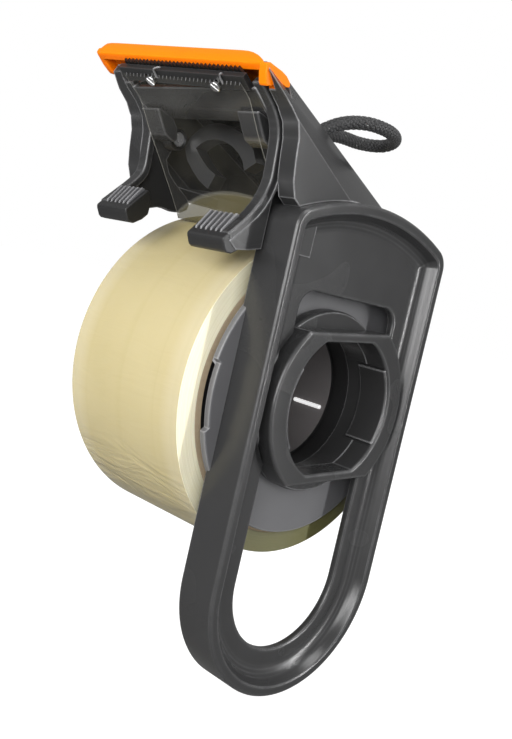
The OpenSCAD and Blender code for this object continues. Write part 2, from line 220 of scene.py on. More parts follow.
def piece(name, bm, material, body, nodes=(), smooth=38):
    """The finished mesh as a named piece that moves with its body."""
    bmesh.ops.remove_doubles(bm, verts=bm.verts, dist=1e-4)
    bmesh.ops.recalc_face_normals(bm, faces=bm.faces)
    bmesh.ops.scale(bm, vec=(0.001, 0.001, 0.001), verts=bm.verts)
    for f in bm.faces:
        f.smooth = True
    for e in bm.edges:
        e.smooth = len(e.link_faces) == 2 and e.calc_face_angle(0) < math.radians(smooth)
    mesh = bpy.data.meshes.new(name)
    bm.to_mesh(mesh)
    bm.free()
    mesh.materials.append(material)
    obj = bpy.data.objects.new(name, mesh)
    scene.collection.objects.link(obj)
    even = obj.modifiers.new("even_normals", "WEIGHTED_NORMAL")
    even.keep_sharp = True
    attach(obj, body)
    if nodes:
        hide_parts(*nodes)
    return obj


def arc(cy, cz, r, a0, a1, n):
    """n + 1 points of an arc, angles in degrees from +Y towards +Z."""
    return [(cy + r * math.cos(math.radians(a0 + (a1 - a0) * i / n)),
             cz + r * math.sin(math.radians(a0 + (a1 - a0) * i / n))) for i in range(n + 1)]


def join(*parts):
    """Outlines in a row, without doubled points."""
    points = []
    for p in (q for part in parts for q in part):
        if not points or math.dist(p, points[-1]) > 1e-5:
            points.append(p)
    if math.dist(points[0], points[-1]) < 1e-5:
        points.pop()
    return points


def line(a, b, n):
    """n + 1 points from a to b."""
    return [(a[0] + (b[0] - a[0]) * i / n, a[1] + (b[1] - a[1]) * i / n) for i in range(n + 1)]


def slab(outline, x0, x1, width=0.35, segments=3, angle=40, bm=None, place=None):
    """A flat outline given thickness from x0 to x1, with its edges rounded."""
    part = bmesh.new()
    edges = loop(part, at_x(outline, x0))
    floor_face = bmesh.ops.contextual_create(part, geom=edges)["faces"]
    top = bmesh.ops.extrude_face_region(part, geom=floor_face)["geom"]
    bmesh.ops.translate(part, vec=(x1 - x0, 0, 0), verts=[g for g in top if isinstance(g, bmesh.types.BMVert)])
    bmesh.ops.recalc_face_normals(part, faces=part.faces)
    soften(part, width, segments, angle)
    if place:
        bmesh.ops.transform(part, matrix=place, verts=part.verts)
    if bm is None:
        return part
    mesh = bpy.data.meshes.new("part")
    part.to_mesh(mesh)
    part.free()
    bm.from_mesh(mesh)
    bpy.data.meshes.remove(mesh)
    return bm


LOOP_R, LOOP_Z, ARCH_R, ARCH_Z, CORNER_R = 32.7, -50.7, 74.0, 55.3, 6.0
FRAME_X0, FRAME_X1, PANEL_X, BACK_X = 25.0, 37.9, 33.5, 31.1


def frame_outline(m):
    """The frame's rim, drawn in by m."""
    cy, big_z = LOOP_R - CORNER_R, ARCH_Z - ARCH_R
    cz = big_z + math.sqrt((ARCH_R - CORNER_R) ** 2 - cy ** 2)
    a = math.degrees(math.atan2(cz - big_z, cy))
    r = max(CORNER_R - m, 0.4)
    hw = LOOP_R - m
    cy2 = hw - r
    cz2 = big_z + math.sqrt((ARCH_R - m - r) ** 2 - cy2 ** 2)
    a2 = math.degrees(math.atan2(cz2 - big_z, cy2))
    return join(arc(0, LOOP_Z, hw, -180, 0, 96), line((hw, LOOP_Z), (hw, cz2), 24),
                arc(cy2, cz2, r, 0, a2, 14), arc(0, big_z, ARCH_R - m, a2, 180 - a2, 48),
                arc(-cy2, cz2, r, 180 - a2, 180, 14), line((-hw, cz2), (-hw, LOOP_Z), 24))


def hole_outline(m):
    """The long slot, widened where the round grip crosses it; m > 0 grows it."""
    hw, r, top, cr = 20.5 + m, 26.9 + m, 29.5 + m, 5.0 + m
    cut = math.degrees(math.acos(hw / r))
    zc = r * math.sin(math.radians(cut))
    return join(arc(0, LOOP_Z, hw, -180, 0, 72), line((hw, LOOP_Z), (hw, -zc), 12),
                arc(0, 0, r, -cut, cut, 24), line((hw, zc), (hw, top - cr), 4),
                arc(hw - cr, top - cr, cr, 0, 90, 8), line((hw - cr, top), (-hw + cr, top), 8),
                arc(-hw + cr, top - cr, cr, 90, 180, 8), line((-hw, top - cr), (-hw, zc), 4),
                arc(0, 0, r, 180 - cut, 180 + cut, 24), line((-hw, -zc), (-hw, LOOP_Z), 12))


bm = bmesh.new()
# Rim section from the panel's edge over the bead and round the back: (drawn in, x).
rim = [(8.2, PANEL_X), (7.2, PANEL_X + 0.03), (6.2, PANEL_X + 0.22), (5.2, PANEL_X + 0.72),
       (4.4, PANEL_X + 1.5), (3.8, PANEL_X + 2.5), (3.35, PANEL_X + 3.5), (3.1, FRAME_X1 - 0.5),
       (2.95, FRAME_X1 - 0.22), (2.7, FRAME_X1 - 0.05), (2.4, FRAME_X1), (1.0, FRAME_X1),
       (0.7, FRAME_X1 - 0.04), (0.42, FRAME_X1 - 0.17), (0.2, FRAME_X1 - 0.39), (0.05, FRAME_X1 - 0.67),
       (0.0, FRAME_X1 - 1.0), (0.0, FRAME_X0 + 0.5), (0.15, FRAME_X0 + 0.15), (0.5, FRAME_X0),
       (2.5, FRAME_X0), (2.85, FRAME_X0 + 0.15), (3.0, FRAME_X0 + 0.5), (3.0, BACK_X - 0.8),
       (3.25, BACK_X - 0.2), (3.8, BACK_X)]
loops = [loop(bm, at_x(frame_outline(m), x)) for m, x in rim]
bridge(bm, loops)
# Slot wall with rounded front and back edges.
wall = [(0.9, PANEL_X), (0.45, PANEL_X - 0.1), (0.14, PANEL_X - 0.36), (0.0, PANEL_X - 0.8),
        (0.0, BACK_X + 0.5), (0.15, BACK_X + 0.15), (0.5, BACK_X)]
holes = [loop(bm, at_x(hole_outline(m), x)) for m, x in wall]
bridge(bm, holes)
fill(bm, loops[0], holes[0])
fill(bm, loops[-1], holes[-1])
piece("frame_plate", bm, GREY, "frame", ["side_frame"])

# Shallow step on the panel beside its top left corner.
STEP = [(-29.3, 37.5), (-21.4, 37.5), (-21.2, 48.0), (-29.0, 48.0)]
piece("panel_step", slab(STEP, PANEL_X - 0.3, PANEL_X + 0.28, 0.14), GREY, "frame")


# ---- Grip collar and finger grips -------------------------------------------
# A collar with two flats, moulded in one with the hub and standing over the panel. A
# curved grip is let into each side of the finger hole, in a narrow groove lined with a near-black sheet: painted
# shade.
def grip_outline(r, flat):
    """A ring of radius r with flats at the top and bottom, turned a little."""
    a = math.degrees(math.asin(flat / r))
    t = math.radians(5.4)
    w = math.sqrt(r * r - flat * flat)
    points = join(arc(0, 0, r, -a, a, 48), line((w, flat), (-w, flat), 20), arc(0, 0, r, 180 - a, 180 + a, 48),
                  line((-w, -flat), (w, -flat), 20))
    return [(y * math.cos(t) - z * math.sin(t), y * math.sin(t) + z * math.cos(t)) for y, z in points]


bm = bmesh.new()
collar = [(26.8, 21.0, 30.6), (26.8, 21.0, 37.0), (26.74, 20.94, 37.3), (26.56, 20.76, 37.62),
          (26.3, 20.5, 37.82), (26.0, 20.2, 37.9), (21.4, 19.0, 37.9), (21.1, 18.72, 37.84),
          (20.84, 18.46, 37.64), (20.68, 18.28, 37.36), (20.6, 18.2, 37.0), (20.6, 18.2, 30.6)]
loops = [loop(bm, at_x(grip_outline(r, f), x)) for r, f, x in collar]
bridge(bm, loops + loops[:1])
piece("collar", bm, GREY, "frame", ["grip_collar"])

# Near-black plastic for sheets set where there is only shade: the grooves round the grips and the gap in the
# bore.
SHADE_BLACK = plastic("painted_shade_black", (0.007, 0.007, 0.0075), (0.03, 0.03, 0.032), 0.50, 0.03)
GRIP = [(27.7, 20.75), (27.7, 20.1), (27.8, 19.95), (28.0, 19.85), (37.0, 19.85), (37.3, 19.95),
        (37.45, 20.15), (37.5, 20.4), (37.5, 20.75)]
GROOVE = [(27.2, 20.75), (27.2, 20.4), (37.2, 20.4), (37.2, 20.75)]
for name, middle, section, half, material in (
        ("rear_grip", 4.5, GRIP, 32.2, GREY), ("rear_groove_shade", 4.5, GROOVE, 33.5, SHADE_BLACK),
        ("front_grip", 184.5, GRIP, 32.2, GREY), ("front_groove_shade", 184.5, GROOVE, 33.5, SHADE_BLACK)):
    bm = bmesh.new()
    start = math.radians(middle - half)
    edges = loop(bm, [(x, r * math.cos(start), r * math.sin(start)) for x, r in section])
    end = bmesh.ops.edgeloop_fill(bm, edges=edges)["faces"]
    bmesh.ops.spin(bm, geom=end, cent=(0, 0, 0), axis=(1, 0, 0), angle=math.radians(2 * half), steps=48,
                   use_duplicate=False)
    if section is GRIP:
        soften(bm, 0.4, 3, 60)
    piece(name, bm, material, "frame", ["finger_grips"])


# ---- Hub --------------------------------------------------------------------
# A moulded drum that the card core turns on, held by four sprung clips and closed by
# a ring with three screws. A flange keeps the roll off the frame, and a boss joins
# the drum to the collar.
# Paler copy of the grey plastic, as painted light: it brightens the flange face, which the lamps barely reach,
# and paints highlights on the pad ribs, the clamp marks and the film's cut edge.
PAINTED_LIT = plastic("painted_lit_plastic", (0.115, 0.115, 0.12), (0.45, 0.45, 0.46), 0.30, 0.06, 0.0, 1.2)
# The rim of the flange is set back over one stretch, in degrees from +Y towards +Z.
FLANGE_RIM, FLANGE_NOTCH, NOTCH_DEPTH = 38.0, (170.0, 196.6), 1.4
flange = [(24.4, 24.1), (24.4, 38.6), (24.5, 39.0), (24.8, 39.3), (26.1, 39.3), (26.45, 39.15),
          (26.6, 38.8), (26.6, 24.1)]
bm = turned(flange, 360)
for v in bm.verts:
    r, turn = math.hypot(v.co.y, v.co.z), math.degrees(math.atan2(v.co.z, v.co.y)) % 360
    if r > FLANGE_RIM and FLANGE_NOTCH[0] < turn < FLANGE_NOTCH[1]:
        v.co.y, v.co.z = v.co.y * (r - NOTCH_DEPTH) / r, v.co.z * (r - NOTCH_DEPTH) / r
piece("flange", bm, PAINTED_LIT, "frame", ["hub_flange"])
boss = [(22.2, 20.9), (22.2, 23.6), (22.5, 23.9), (26.65, 23.9), (26.65, 25.9), (29.8, 25.9),
        (30.2, 25.75), (30.65, 25.4), (30.65, 20.6), (22.5, 20.6)]
piece("boss", turned(boss), GREY, "frame", ["hub_sleeve"])
DARK = plastic("dark_plastic", (0.014, 0.014, 0.0145), (0.10, 0.10, 0.103), 0.40, 0.14)
drum = [(22.6, 37.3), (22.3, 37.6), (-22.2, 37.6), (-22.6, 37.2), (-22.6, 20.4), (-22.2, 20.2),
        (16.2, 20.2), (16.2, 22.2), (-20.6, 22.2), (-20.6, 35.4), (22.6, 35.4)]
piece("drum", turned(drum), DARK, "frame", ["hub_drum"])


# A thin sleeve in a paler plastic lines the bore: painted light where the lamps barely reach. A black ring
# between its two lengths is painted shade in the dark gap there.
BORE_PAINTED_LIGHT = plastic("bore_painted_light", (0.17, 0.158, 0.158), (0.13, 0.12, 0.12), 0.42, 0.06)
bore_light_sleeve = [(-22.0, 20.0), (16.2, 20.0), (16.2, 20.15), (-22.0, 20.15)]
piece("bore_painted_light", turned(bore_light_sleeve), BORE_PAINTED_LIGHT, "frame")
# Near-black ring filling the gap between the bore's two lengths: painted shade.
ring = [(16.25, 20.7), (22.2, 20.7), (22.2, 21.3), (16.25, 21.3)]
piece("bore_gap_shade", turned(ring), SHADE_BLACK, "frame")


def finish_node(node, material, width=0.0):
    """Gives a CAD node its material, and rounds its edges by width in metres."""
    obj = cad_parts[node]
    obj.data.materials.clear()
    obj.data.materials.append(material)
    if width:
        m = obj.modifiers.new("rounded", "BEVEL")
        m.width, m.segments, m.limit_method = width, 3, "ANGLE"
        m.angle_limit = math.radians(50)


finish_node("core_clips", DARK, 0.0002)
finish_node("hub_cap", DARK, 0.0003)


def metal(name, colour, roughness, brushed=0.0):
    """Plated or, with brushed, drawn steel with fine lines along X."""
    m = bpy.data.materials.new(name)
    m.use_nodes = True
    t = m.node_tree
    bsdf = t.nodes["Principled BSDF"]
    bsdf.inputs["Metallic"].default_value = 1.0
    place = add(t, "ShaderNodeTexCoord")
    stretch = add(t, "ShaderNodeMapping", Vector=place.outputs["Object"])
    stretch.inputs["Scale"].default_value = (400, 6000, 6000) if brushed else (900, 900, 900)
    lines = add(t, "ShaderNodeTexNoise", Vector=stretch.outputs["Vector"], Scale=1.0, Detail=4.0)
    w = t.nodes.new("ShaderNodeGroup")
    w.node_tree = highlight_wear_group
    tone = add(t, "ShaderNodeMix", data_type="RGBA")
    tone.inputs[6].default_value = (*[0.78 * c for c in colour], 1)
    tone.inputs[7].default_value = (*colour, 1)
    t.links.new(lines.outputs["Fac"], tone.inputs[0])
    t.links.new(tone.outputs[2], bsdf.inputs["Base Color"])
    rough = add(t, "ShaderNodeMapRange", To_Min=roughness - 0.06, To_Max=roughness + 0.12)
    t.links.new(lines.outputs["Fac"], rough.inputs["Value"])
    rubbed_away = math_node(t, "MULTIPLY", w.outputs["Mask"], 0.1)
    polished = math_node(t, "SUBTRACT", rough.outputs["Result"], rubbed_away)
    t.links.new(polished, bsdf.inputs["Roughness"])
    relief = add(t, "ShaderNodeBump", Height=lines.outputs["Fac"], Strength=0.1 + brushed, Distance=0.0001)
    t.links.new(relief.outputs["Normal"], bsdf.inputs["Normal"])
    return m


ZINC = metal("zinc", (0.80, 0.80, 0.80), 0.22)
finish_node("hub_screws", ZINC, 0.0003)

# Bright pin let into the wall of the bore; a little glow stands for the light it catches.
PIN_R, PIN_LENGTH, PIN_AT = 0.62, 11.0, (9.1, 19.35, -4.1)
pin_bm = bmesh.new()
bmesh.ops.create_cone(pin_bm, cap_ends=True, segments=24, radius1=PIN_R, radius2=PIN_R,
                      depth=PIN_LENGTH, matrix=Matrix.Translation(PIN_AT) @ Matrix.Rotation(math.pi / 2, 4, "Y"))
soften(pin_bm, 0.3, 3)
WHITE_STEEL = metal("bright_pin", (0.95, 0.95, 0.95), 0.35)
glow = WHITE_STEEL.node_tree.nodes["Principled BSDF"]
glow.inputs["Emission Color"].default_value = (1, 1, 1, 1)
glow.inputs["Emission Strength"].default_value = 0.75
piece("pin", pin_bm, WHITE_STEEL, "frame", ["brake_pin"])


# ---- Tape roll --------------------------------------------------------------
# Many layers of clear film wound on a spiral card core, which slides onto the drum.
# Wound up, the film and its adhesive look pale amber.
roll = [(23.8, 40.25), (23.8, 46.0), (23.72, 46.14), (23.55, 46.2), (-23.55, 46.2), (-23.72, 46.14),
        (-23.8, 46.0), (-23.8, 40.25)]
tape = bpy.data.materials.new("clear_tape")
tape.use_nodes = True
t = tape.node_tree
bsdf = t.nodes["Principled BSDF"]
place = add(t, "ShaderNodeTexCoord")
axes = add(t, "ShaderNodeSeparateXYZ", Vector=place.outputs["Object"])
facing = add(t, "ShaderNodeNewGeometry")
normal = add(t, "ShaderNodeSeparateXYZ", Vector=facing.outputs["True Normal"])
side = math_node(t, "GREATER_THAN", math_node(t, "ABSOLUTE", normal.outputs["X"]), 0.7)
# Tread: cloudy pale amber, in faint bands round the roll, paler at both rims.
clouds = add(t, "ShaderNodeTexNoise", Vector=place.outputs["Object"], Scale=24.0, Detail=5.0, Roughness=0.6)
bands = add(t, "ShaderNodeTexNoise", noise_dimensions="1D", W=axes.outputs["X"], Scale=260.0, Detail=3.0)
tread = add(t, "ShaderNodeMix", data_type="RGBA")
tread.inputs[6].default_value = (0.44, 0.37, 0.18, 1)
tread.inputs[7].default_value = (0.54, 0.465, 0.27, 1)
mottle = math_node(t, "MULTIPLY", clouds.outputs["Fac"], math_node(t, "MULTIPLY", bands.outputs["Fac"], 2.2))
t.links.new(mottle, tread.inputs[0])
rim_fade = add(t, "ShaderNodeMapRange", From_Min=0.0165, From_Max=0.0205, To_Min=0.0, To_Max=0.42)
t.links.new(math_node(t, "ABSOLUTE", axes.outputs["X"]), rim_fade.inputs["Value"])
paler = add(t, "ShaderNodeMix", data_type="RGBA")
paler.inputs[7].default_value = (0.58, 0.52, 0.36, 1)
t.links.new(rim_fade.outputs["Result"], paler.inputs[0])
t.links.new(tread.outputs[2], paler.inputs[6])
# Side: fine winding rings, frosted towards the outer rim and the core.
flat = add(t, "ShaderNodeCombineXYZ", Y=axes.outputs["Y"], Z=axes.outputs["Z"])
radius = add(t, "ShaderNodeVectorMath", operation="LENGTH")
t.links.new(flat.outputs["Vector"], radius.inputs[0])
rings = add(t, "ShaderNodeTexNoise", noise_dimensions="1D", W=radius.outputs["Value"], Scale=3200.0, Detail=4.0)
wound = add(t, "ShaderNodeMix", data_type="RGBA")
wound.inputs[6].default_value = (0.72, 0.66, 0.44, 1)
wound.inputs[7].default_value = (1.0, 0.96, 0.76, 1)
frost = add(t, "ShaderNodeTexNoise", Vector=place.outputs["Object"], Scale=60.0, Detail=4.0)
t.links.new(math_node(t, "MULTIPLY", rings.outputs["Fac"], math_node(t, "MULTIPLY", frost.outputs["Fac"], 2.3)),
            wound.inputs[0])
# Painted light and shade on the side: pale along one stretch (y below about -26 mm) and dark olive elsewhere,
# standing for where light falls and where shade falls.
front = add(t, "ShaderNodeMapRange", From_Min=-0.026, From_Max=-0.036, To_Min=0.0, To_Max=1.0)
t.links.new(axes.outputs["Y"], front.inputs["Value"])
shade = add(t, "ShaderNodeMix", data_type="RGBA")
shade.inputs[6].default_value = (0.13, 0.125, 0.05, 1)
t.links.new(front.outputs["Result"], shade.inputs[0])
t.links.new(wound.outputs[2], shade.inputs[7])
colour = add(t, "ShaderNodeMix", data_type="RGBA")
t.links.new(side, colour.inputs[0])
t.links.new(paler.outputs[2], colour.inputs[6])
t.links.new(shade.outputs[2], colour.inputs[7])
t.links.new(colour.outputs[2], bsdf.inputs["Base Color"])
bsdf.inputs["Subsurface Weight"].default_value = 0.15
bsdf.inputs["Subsurface Radius"].default_value = (0.004, 0.003, 0.0015)
bsdf.inputs["Coat Weight"].default_value = 0.4
bsdf.inputs["Coat Roughness"].default_value = 0.16
bsdf.inputs["Roughness"].default_value = 0.42
# Wrinkles in the outer film, strongest low on the front of the roll.
stretch = add(t, "ShaderNodeMapping", Vector=place.outputs["Object"])
stretch.inputs["Rotation"].default_value = (0.5, 0.0, 0.35)
stretch.inputs["Scale"].default_value = (1.0, 1.0, 5.0)
creases = add(t, "ShaderNodeTexNoise", Vector=stretch.outputs["Vector"], Scale=42.0, Detail=4.0, Distortion=1.2)
low = add(t, "ShaderNodeMapRange", From_Min=-0.020, From_Max=-0.038, To_Min=0.06, To_Max=0.8)
t.links.new(axes.outputs["Z"], low.inputs["Value"])
relief = add(t, "ShaderNodeBump", Height=creases.outputs["Fac"], Distance=0.0025)
t.links.new(math_node(t, "MULTIPLY", low.outputs["Result"], math_node(t, "SUBTRACT", 1.0, side)),
            relief.inputs["Strength"])
groove = add(t, "ShaderNodeBump", Height=rings.outputs["Fac"], Normal=relief.outputs["Normal"], Distance=0.0002)
t.links.new(math_node(t, "MULTIPLY", side, 0.35), groove.inputs["Strength"])
t.links.new(groove.outputs["Normal"], bsdf.inputs["Normal"])
piece("wound_tape", turned(roll, 256), tape, "roll", ["tape_roll"])

core = [(23.6, 38.05), (23.8, 38.25), (23.8, 40.0), (23.6, 40.2), (-23.6, 40.2), (-23.8, 40.0),
        (-23.8, 38.25), (-23.6, 38.05)]
card = bpy.data.materials.new("card")
card.use_nodes = True
t = card.node_tree
bsdf = t.nodes["Principled BSDF"]
place = add(t, "ShaderNodeTexCoord")
fibres = add(t, "ShaderNodeTexNoise", Vector=place.outputs["Object"], Scale=900.0, Detail=5.0, Roughness=0.7)
plies = add(t, "ShaderNodeTexWave", Vector=place.outputs["Object"], wave_type="RINGS", rings_direction="X",
            Scale=900.0, Distortion=1.0)
kraft = add(t, "ShaderNodeMix", data_type="RGBA")
kraft.inputs[6].default_value = (0.27, 0.20, 0.125, 1)
kraft.inputs[7].default_value = (0.42, 0.34, 0.235, 1)
t.links.new(math_node(t, "MULTIPLY", fibres.outputs["Fac"], math_node(t, "ADD", plies.outputs["Fac"], 0.5)),
            kraft.inputs[0])
t.links.new(kraft.outputs[2], bsdf.inputs["Base Color"])
bsdf.inputs["Roughness"].default_value = 0.85
relief = add(t, "ShaderNodeBump", Height=fibres.outputs["Fac"], Strength=0.3, Distance=0.0003)
t.links.new(relief.outputs["Normal"], bsdf.inputs["Normal"])
piece("core", turned(core), card, "roll", ["tape_core"])


# ---- Head shell -------------------------------------------------------------
# The hood over the cutter, moulded in satin grey with two cheeks, and screwed to the
# frame from behind. The lanyard is looped round a pin inside it.
def from_cad(node, width, segments=3, angle=30):
    """The CAD node's mesh, merged into clean flat faces, with its edges rounded."""
    bm = bmesh.new()
    bm.from_mesh(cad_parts[node].data)
    bmesh.ops.scale(bm, vec=(1000, 1000, 1000), verts=bm.verts)
    bmesh.ops.remove_doubles(bm, verts=bm.verts, dist=2e-3)
    bmesh.ops.dissolve_limit(bm, angle_limit=math.radians(0.6), verts=bm.verts, edges=bm.edges)
    soften(bm, width, segments, angle)
    return bm


piece("hood", from_cad("head_shell", 0.5), GREY, "frame", ["head_shell"])
finish_node("head_screws", ZINC, 0.0003)
finish_node("cord_anchor", ZINC, 0.0003)


# ---- Cutting edge guard -----------------------------------------------------
# Orange lip over the front of the hood, turned down at both ends. It and the
# cutter lie in a frame leaned 33 degrees and skewed 4.2 degrees.
ORANGE = plastic("orange_plastic", (0.95, 0.19, 0.0), (1.0, 0.40, 0.01), 0.42, 0.05, 0.0, 0.5)
gloss = ORANGE.node_tree.nodes["Principled BSDF"].inputs["Specular IOR Level"]
gloss.default_value = 0.15
LEAN = (Matrix.Translation((0, -47.6, 79.4)) @ Matrix.Rotation(math.radians(-33), 4, "X")
        @ Matrix.Rotation(math.radians(4.2), 4, "Z"))


bm = bmesh.new()
# Stations along the lip: (x, height of the front, height of the deck, shrink).
stations = [(-35.3, 2.4, 1.6, 0.45), (-35.15, 3.1, 2.0, 0.72), (-34.7, 3.7, 2.3, 0.9),
            (-34.0, 4.1, 2.6, 0.98), (-32.5, 4.3, 3.2, 1), (-30.0, 4.4, 4.0, 1), (-27.0, 4.4, 4.9, 1),
            (-25.0, 4.4, 5.3, 1), (-10.0, 4.3, 5.4, 1), (5.0, 4.25, 5.4, 1), (19.0, 4.2, 5.4, 1),
            (21.5, 4.05, 5.2, 1), (23.5, 3.6, 4.7, 1), (25.5, 2.75, 4.0, 1), (27.2, 1.7, 3.2, 1),
            (28.6, 0.6, 2.6, 0.98), (29.5, -0.1, 2.2, 0.9), (30.0, -0.3, 1.8, 0.7)]
loops = []
for x, front, deck, shrink in stations:
    h = front + 1.0
    section = [(-1.9, -1.0), (-2.3, -0.75), (-2.55, -1 + 0.22 * h), (-2.6, -1 + 0.45 * h),
               (-2.45, -1 + 0.68 * h), (-2.2, -1 + 0.86 * h), (-1.3, -1 + 0.97 * h), (-0.2, front),
               (1.4, (front + deck) / 2), (3.4, deck), (8.0, deck), (8.5, deck - 0.15),
               (8.6, deck - 0.5), (8.4, deck - 0.85), (1.6, deck - 1.1), (0.4, min(deck - 1.6, 0.9)),
               (-0.1, -0.6), (-0.4, -1.0)]
    cy, cz = 1.0, 0.9
    drawn_in = [(cy + (y - cy) * shrink, cz + (z - cz) * shrink) for y, z in section]
    loops.append(loop(bm, [LEAN @ Vector((x, y, z)) for y, z in drawn_in]))
bridge(bm, loops)
for edges in (loops[0], loops[-1]):
    bmesh.ops.edgeloop_fill(bm, edges=edges)
left_ear = [(-2.3, -0.6), (-2.6, 1.0), (0.0, 2.4), (4.6, 2.2), (6.6, 1.4), (6.4, 0.4), (5.2, -0.5),
            (4.4, -0.7), (1.6, -0.9)]
slab(left_ear, -35.3, -33.0, 0.7, 4, bm=bm, place=LEAN)
right_ear = [(-2.4, -0.9), (-1.8, 0.3), (0.2, 1.2), (2.4, 2.3), (4.4, 2.9), (6.4, 2.9), (7.2, 2.2),
             (6.4, 1.2), (4.9, 0.5), (4.75, -1.7), (4.2, -1.9), (3.5, -0.6), (2.7, -2.6), (1.7, -3.9),
             (0.8, -3.8), (-1.0, -2.4)]
slab(right_ear, 28.7, 31.2, 0.5, 4, bm=bm, place=LEAN)
piece("guard", bm, ORANGE, "frame", ["blade_guard"])


# ---- Yoke -------------------------------------------------------------------
# The rocking frame of the cutter: two flared side webs with a raised front rim, a cross
# plate behind the film, and a ribbed thumb pad at the foot of each web. It turns on two
# steel pins in the cheeks, with a dark return spring round each.
RIM = [(-45.6, 75.2), (-44.0, 73.9), (-42.2, 72.6), (-40.4, 71.2), (-38.8, 69.7), (-37.5, 68.1),
       (-36.6, 66.4), (-36.0, 64.4), (-35.7, 62.0), (-35.5, 59.4), (-35.3, 56.8), (-35.2, 54.6),
       (-35.5, 52.8), (-36.3, 51.3), (-37.6, 49.7), (-39.2, 48.0), (-41.2, 46.0), (-43.4, 43.8),
       (-45.4, 41.8)]


def offset(points, d):
    """An open line of (y, z) points moved d to its left."""
    out = []
    for i, (y, z) in enumerate(points):
        a, b = points[max(i - 1, 0)], points[min(i + 1, len(points) - 1)]
        n = math.dist(a, b)
        out.append((y - d * (b[1] - a[1]) / n, z + d * (b[0] - a[0]) / n))
    return out


bm = bmesh.new()
rim_in = offset(RIM, 2.3)
heel = [(-42.0, 38.4), (-37.6, 39.6), (-33.4, 41.4), (-29.6, 42.9), (-26.2, 44.0)]
tongue = [(-23.6, 44.1), (-20.6, 43.8), (-17.4, 44.2), (-15.0, 45.6), (-14.6, 47.4), (-16.4, 49.4),
          (-20.6, 51.8), (-24.6, 54.6), (-26.6, 58.0), (-25.2, 61.6), (-24.9, 65.2), (-27.0, 67.4),
          (-30.4, 68.0), (-34.0, 69.6)]
left_web = rim_in[3:] + [(-44.6, 39.8)] + heel + tongue
slab(left_web, -27.9, -26.0, 0.4, bm=bm)
slab(RIM + [(-44.8, 40.6)] + rim_in[::-1], -27.9, -24.2, 0.5, bm=bm)
right_rim = RIM[:13] + [(-36.2, 50.4), (-37.4, 47.9), (-39.2, 45.2), (-41.2, 42.8), (-43.4, 40.6),
                        (-45.4, 38.6)]
right_in = offset(right_rim, 2.3)
right_web = right_in[3:15] + [(-37.0, 44.4), (-41.4, 39.8), (-44.6, 36.8), (-42.0, 35.0), (-37.6, 35.7),
                              (-33.35, 36.8), (-33.35, 49.6), (-31.4, 55.4), (-26.6, 58.4),
                              (-25.2, 61.6), (-24.9, 65.2), (-27.0, 67.4), (-30.4, 68.0), (-34.0, 69.6)]
slab(right_web, 26.0, 27.9, 0.4, bm=bm)
slab(right_rim + [(-44.8, 37.2)] + right_in[::-1], 24.2, 27.9, 0.5, bm=bm)
inner_heel = heel[1:] + tongue[:6] + [(-22.4, 52.6), (-33.0, 53.0), (-34.4, 50.0), (-38.0, 44.6)]
slab(inner_heel, 22.4, 24.3, 0.4, bm=bm)
plate = [(-44.6, 74.0), (-43.6, 75.2), (-38.0, 72.2), (-34.0, 69.6), (-33.6, 68.8), (-34.4, 68.4),
         (-39.2, 70.2)]
slab(plate, -25.0, 25.0, 0.3, bm=bm)
piece("yoke", bm, GREY, "yoke", ["blade_yoke"])


PAD_DROP = 3.2     # the right pad sits this much lower than the left one


def thumb_pad(name, side, node):
    """Wedge with a sloping top face and six raised ribs, on its own side of the yoke."""
    bm = bmesh.new()
    drop = PAD_DROP if side > 0 else 0.0
    wedge = [(-46.5, 40.3), (-46.3, 39.4), (-45.2, 37.5), (-44.4, 37.0), (-42.8, 37.0), (-40.2, 38.6),
             (-38.5, 40.4), (-38.4, 43.6), (-39.6, 46.6), (-40.4, 46.9)]
    wedge = [(y, z - drop) for y, z in wedge]
    slab(wedge, min(side * 13.6, side * 27.6), max(side * 13.6, side * 27.6), 0.4, bm=bm)
    piece(name, bm, DARK, "yoke", [node])
    bm = bmesh.new()
    for i in range(6):
        x = side * (15.2 + 1.9 * i)
        rib = [(-45.3, 41.2), (-45.2, 42.4), (-41.5, 47.2), (-40.5, 47.0), (-40.8, 45.6), (-45.0, 40.8)]
        rib = [(y, z - drop) for y, z in rib]
        slab(rib, x - 0.36, x + 0.36, 0.2, 2, bm=bm)
    # The ribs are in the paler plastic: painted highlights for their lit sides.
    piece(name + "_ribs", bm, PAINTED_LIT, "yoke", [node])


thumb_pad("pad_right", 1, "right_thumb_pad")
thumb_pad("pad_left", -1, "left_thumb_pad")

SPRING = metal("spring_steel", (0.10, 0.10, 0.105), 0.30)
finish_node("yoke_pins", ZINC, 0.0003)
finish_node("return_springs", SPRING)

# Two blocks that press on the film, each with a sloping front and a bare side.
bm = bmesh.new()
block = [(-39.9, 69.6), (-39.2, 70.0), (-34.2, 69.0), (-31.6, 66.4), (-30.8, 63.2), (-32.0, 62.2),
         (-35.2, 63.4), (-36.6, 65.0)]
slab(block, -25.4, -17.6, 0.7, 4, bm=bm)
slab(block, 14.8, 22.6, 0.7, 4, bm=bm)
piece("tabs", bm, GREY, "yoke", ["tape_tabs"])

# Bent rib under the roof of the hood.
ARCH = [(9.6, 60.0), (7.6, 63.2), (4.4, 66.0), (0.4, 68.2), (-4.0, 69.6), (-8.6, 70.2), (-13.0, 69.8),
        (-16.8, 68.2), (-20.2, 65.6), (-21.6, 62.4), (-19.4, 59.0), (-15.8, 56.0), (-12.0, 53.4),
        (-7.6, 51.4)]
ACROSS = Matrix(((0, 1, 0, 0), (1, 0, 0, 0), (0, 0, 1, 0), (0, 0, 0, 1)))
BOW = plastic("bow_plastic", (0.018, 0.018, 0.0185), (0.06, 0.06, 0.06), 0.45, 0.05)
bm = bmesh.new()
slab(ARCH + offset(ARCH, 4.6)[::-1], -24.5, -20.0, 0.9, 4, bm=bm, place=ACROSS)
piece("bow", bm, BOW, "frame", ["guide_bow"])


